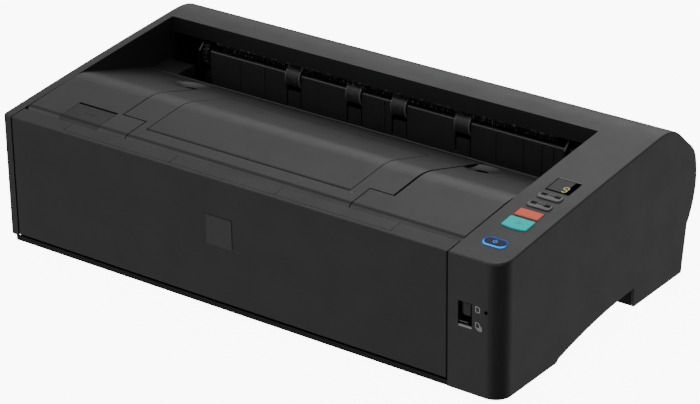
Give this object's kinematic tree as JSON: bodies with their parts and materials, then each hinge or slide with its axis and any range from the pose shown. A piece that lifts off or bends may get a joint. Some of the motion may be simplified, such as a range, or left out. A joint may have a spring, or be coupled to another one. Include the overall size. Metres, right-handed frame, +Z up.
{
  "type": "document scanner",
  "caption": "Low charcoal sheet-fed document scanner with a hinged front feed tray, a U-turn paper path, an opening upper unit and a key panel on its right column.",
  "frame": {"origin": "on the floor under the middle of the case", "axes": "+X to the right seen from the front, +Y to the rear, +Z up"},
  "size_m": [0.424, 0.2466, 0.1198],
  "materials": {
    "case_plastic": "fine textured charcoal moulding",
    "front_plastic": "fine textured charcoal moulding of the front panel",
    "dark_plastic": "near-black moulding",
    "gear_plastic": "natural acetal",
    "roller_rubber": "dark roller rubber",
    "foot_rubber": "black foot rubber",
    "steel": "zinc plated steel",
    "shaft_steel": "ground shaft steel",
    "brush_fibre": "conductive bristles on a strip",
    "sensor_body": "black sensor housing with a glass strip",
    "motor_steel": "motor can",
    "belt_rubber": "toothed belt rubber",
    "board": "circuit board",
    "connector": "connector housing",
    "display_black": "smoked display pane",
    "key_grey": "satin grey key",
    "key_coral": "satin coral key",
    "key_teal": "satin teal key",
    "key_power": "dark power key",
    "ring_light": "lit blue light guide",
    "lens_clear": "smoked lens",
    "badge": "blank glossy plate"
  },
  "bodies": {
    "base": {"outer_case": "case_plastic", "base_tray": "dark_plastic", "rubber_feet": "foot_rubber", "case_screws": "steel", "side_frame_left": "steel", "side_frame_right": "steel", "unit_hinge_pins": "shaft_steel", "lower_paper_guide": "dark_plastic", "lower_image_sensor": "sensor_body", "inner_turn_guide": "dark_plastic", "outer_turn_guide": "dark_plastic", "eject_guide_plate": "dark_plastic", "static_brush": "brush_fibre", "drive_motor": "motor_steel", "lower_drive_belt": "belt_rubber", "retard_bracket": "steel", "power_inlet": "connector", "data_port": "connector", "main_board": "board", "panel_board": "board", "display_window": "display_black", "power_ring": "ring_light", "indicator_lens": "lens_clear"},
    "motor_rotor": {"motor_pinion": "gear_plastic"},
    "idler": {"idler_gear": "gear_plastic"},
    "eject_drive": {"eject_shaft": "shaft_steel", "eject_rollers": "roller_rubber"},
    "eject_pinch": {"eject_pinch_rollers": "gear_plastic"},
    "turn_drive": {"turn_roller_shaft": "roller_rubber"},
    "turn_pinch": {"turn_pinch_rollers": "gear_plastic"},
    "registration_drive": {"registration_roller_shaft": "roller_rubber"},
    "reading_drive": {"reading_roller_shaft": "roller_rubber"},
    "retard_swing": {"retard_arm": "steel"},
    "retard_turn": {"retard_roller": "roller_rubber"},
    "exit_flap": {"rear_exit_cover": "case_plastic"},
    "bypass_key": {"bypass_button": "key_grey"},
    "count_key": {"count_button": "key_grey"},
    "stop_key": {"stop_button": "key_coral"},
    "start_key": {"start_button": "key_teal"},
    "power_key": {"power_button": "key_power"},
    "selector": {"selector_knob": "case_plastic"},
    "tray": {"feed_tray_cover": "front_plastic", "feed_tray_plate": "dark_plastic", "badge_plate": "badge"},
    "tray_extension": {"feed_extension": "case_plastic"},
    "tray_inner_extension": {"feed_extension_inner": "case_plastic"},
    "guide_left": {"document_guide_left": "dark_plastic"},
    "guide_right": {"document_guide_right": "dark_plastic"},
    "guide_gear": {"guide_pinion": "gear_plastic"},
    "upper_unit": {"upper_cover": "case_plastic", "upper_frame": "steel", "upper_image_sensor": "sensor_body"},
    "feed_drive": {"feed_roller": "roller_rubber"},
    "pickup_swing": {"pickup_holder": "dark_plastic"},
    "pickup_drive": {"pickup_roller": "roller_rubber"},
    "registration_idler": {"registration_idlers": "gear_plastic"},
    "reading_idler": {"reading_idlers": "gear_plastic"},
    "release_lever": {"open_lever": "case_plastic"},
    "stacker": {"eject_tray": "case_plastic"},
    "stopper": {"eject_stopper": "case_plastic"}
  },
  "joints": [
    {"name": "motor_turn", "type": "hinge", "parent": "base", "child": "motor_rotor", "pos_m": [0, 0.07633, 0.04784], "axis": [1, 0, 0], "continuous": true},
    {"name": "idler_turn", "type": "hinge", "parent": "base", "child": "idler", "pos_m": [0, 0.0741, 0.07003], "axis": [1, 0, 0], "continuous": true},
    {"name": "eject_turn", "type": "hinge", "parent": "base", "child": "eject_drive", "pos_m": [0, 0.066, 0.094], "axis": [1, 0, 0], "continuous": true},
    {"name": "eject_pinch_turn", "type": "hinge", "parent": "base", "child": "eject_pinch", "pos_m": [0, 0.066, 0.1083], "axis": [1, 0, 0], "continuous": true},
    {"name": "turn_roller_turn", "type": "hinge", "parent": "base", "child": "turn_drive", "pos_m": [0, 0.09363, 0.05394], "axis": [1, 0, 0], "continuous": true},
    {"name": "turn_pinch_turn", "type": "hinge", "parent": "base", "child": "turn_pinch", "pos_m": [0, 0.10706, 0.04905], "axis": [1, 0, 0], "continuous": true},
    {"name": "registration_turn", "type": "hinge", "parent": "base", "child": "registration_drive", "pos_m": [0, -0.03198, 0.0162], "axis": [1, 0, 0], "continuous": true},
    {"name": "reading_turn", "type": "hinge", "parent": "base", "child": "reading_drive", "pos_m": [0, 0.01796, 0.0162], "axis": [1, 0, 0], "continuous": true},
    {"name": "feed_turn", "type": "hinge", "parent": "upper_unit", "child": "feed_drive", "pos_m": [0, -0.06199, 0.03393], "axis": [1, 0, 0], "continuous": true},
    {"name": "pickup_turn", "type": "hinge", "parent": "pickup_swing", "child": "pickup_drive", "pos_m": [0, -0.08807, 0.0268], "axis": [1, 0, 0], "continuous": true},
    {"name": "registration_idler_turn", "type": "hinge", "parent": "upper_unit", "child": "registration_idler", "pos_m": [0, -0.03198, 0.0305], "axis": [1, 0, 0], "continuous": true},
    {"name": "reading_idler_turn", "type": "hinge", "parent": "upper_unit", "child": "reading_idler", "pos_m": [0, 0.01796, 0.0305], "axis": [1, 0, 0], "continuous": true},
    {"name": "retard_roller_turn", "type": "hinge", "parent": "retard_swing", "child": "retard_turn", "pos_m": [0, -0.06199, 0.01563], "axis": [1, 0, 0], "continuous": true},
    {"name": "tray_hinge", "type": "hinge", "parent": "base", "child": "tray", "pos_m": [0, -0.1185, 0.012], "axis": [1, 0, 0], "range_deg": [0, 70]},
    {"name": "extension_slide", "type": "slide", "parent": "tray", "child": "tray_extension", "axis": [0, 0, 1], "range_m": [0, 0.062]},
    {"name": "inner_extension_slide", "type": "slide", "parent": "tray_extension", "child": "tray_inner_extension", "axis": [0, 0, 1], "range_m": [0, 0.05]},
    {"name": "guide_left_slide", "type": "slide", "parent": "tray", "child": "guide_left", "axis": [1, 0, 0], "range_m": [-0.044, 0.07]},
    {"name": "guide_right_slide", "type": "slide", "parent": "tray", "child": "guide_right", "axis": [1, 0, 0], "range_m": [-0.07, 0.044]},
    {"name": "guide_gear_turn", "type": "hinge", "parent": "tray", "child": "guide_gear", "pos_m": [-0.01665, -0.1089, 0.034], "axis": [0, -1, 0], "continuous": true},
    {"name": "upper_unit_hinge", "type": "hinge", "parent": "base", "child": "upper_unit", "pos_m": [0, 0.058, 0.044], "axis": [-1, 0, 0], "range_deg": [0, 25]},
    {"name": "release_lever_hinge", "type": "hinge", "parent": "upper_unit", "child": "release_lever", "pos_m": [-0.15535, -0.0854, 0.10335], "axis": [-1, 0, 0], "range_deg": [0, 12]},
    {"name": "eject_tray_hinge", "type": "hinge", "parent": "upper_unit", "child": "stacker", "pos_m": [0, 0.0211, 0.08817], "axis": [-1, 0, 0], "range_deg": [0, 20]},
    {"name": "eject_stopper_hinge", "type": "hinge", "parent": "stacker", "child": "stopper", "pos_m": [0, -0.0886, 0.10297], "axis": [1, 0, 0], "range_deg": [0, 95]},
    {"name": "pickup_swing_hinge", "type": "hinge", "parent": "upper_unit", "child": "pickup_swing", "pos_m": [0, -0.06199, 0.03393], "axis": [-1, 0, 0], "range_deg": [0, 6]},
    {"name": "selector_slide", "type": "slide", "parent": "base", "child": "selector", "axis": [0, 0, -1], "range_m": [0, 0.008]},
    {"name": "retard_swing_hinge", "type": "hinge", "parent": "base", "child": "retard_swing", "pos_m": [0, -0.08199, 0.011], "axis": [-1, 0, 0], "range_deg": [0, 4.2]},
    {"name": "exit_flap_hinge", "type": "hinge", "parent": "base", "child": "exit_flap", "pos_m": [0, 0.1058, 0.01055], "axis": [-1, 0, 0], "range_deg": [0, 85]},
    {"name": "bypass_press", "type": "slide", "parent": "base", "child": "bypass_key", "axis": [0, 0.1009, -0.9949], "range_m": [0, 0.0008], "stiffness_N_per_m": 300},
    {"name": "count_press", "type": "slide", "parent": "base", "child": "count_key", "axis": [0, 0.1029, -0.9947], "range_m": [0, 0.0008], "stiffness_N_per_m": 300},
    {"name": "stop_press", "type": "slide", "parent": "base", "child": "stop_key", "axis": [0, 0.1049, -0.9945], "range_m": [0, 0.0008], "stiffness_N_per_m": 300},
    {"name": "start_press", "type": "slide", "parent": "base", "child": "start_key", "axis": [0, 0.1069, -0.9943], "range_m": [0, 0.0008], "stiffness_N_per_m": 300},
    {"name": "power_press", "type": "slide", "parent": "base", "child": "power_key", "axis": [0, 0.1112, -0.9938], "range_m": [0, 0.0008], "stiffness_N_per_m": 300}
  ],
  "couplings": [
    {"joint": "idler_turn", "follows": "motor_turn", "ratio": -0.375},
    {"joint": "eject_turn", "follows": "motor_turn", "ratio": 0.66667},
    {"joint": "turn_roller_turn", "follows": "motor_turn", "ratio": 0.66667},
    {"joint": "eject_pinch_turn", "follows": "motor_turn", "ratio": -1.2},
    {"joint": "turn_pinch_turn", "follows": "motor_turn", "ratio": -1.2},
    {"joint": "reading_turn", "follows": "registration_turn", "ratio": 1},
    {"joint": "registration_idler_turn", "follows": "registration_turn", "ratio": -1.8},
    {"joint": "reading_idler_turn", "follows": "registration_turn", "ratio": -1.8},
    {"joint": "pickup_turn", "follows": "feed_turn", "ratio": 1.2222},
    {"joint": "guide_right_slide", "follows": "guide_left_slide", "ratio": -1},
    {"joint": "guide_gear_turn", "follows": "guide_left_slide", "rad_per_m": 250},
    {"joint": "retard_swing_hinge", "follows": "selector_slide", "rad_per_m": 9.1538}
  ]
}
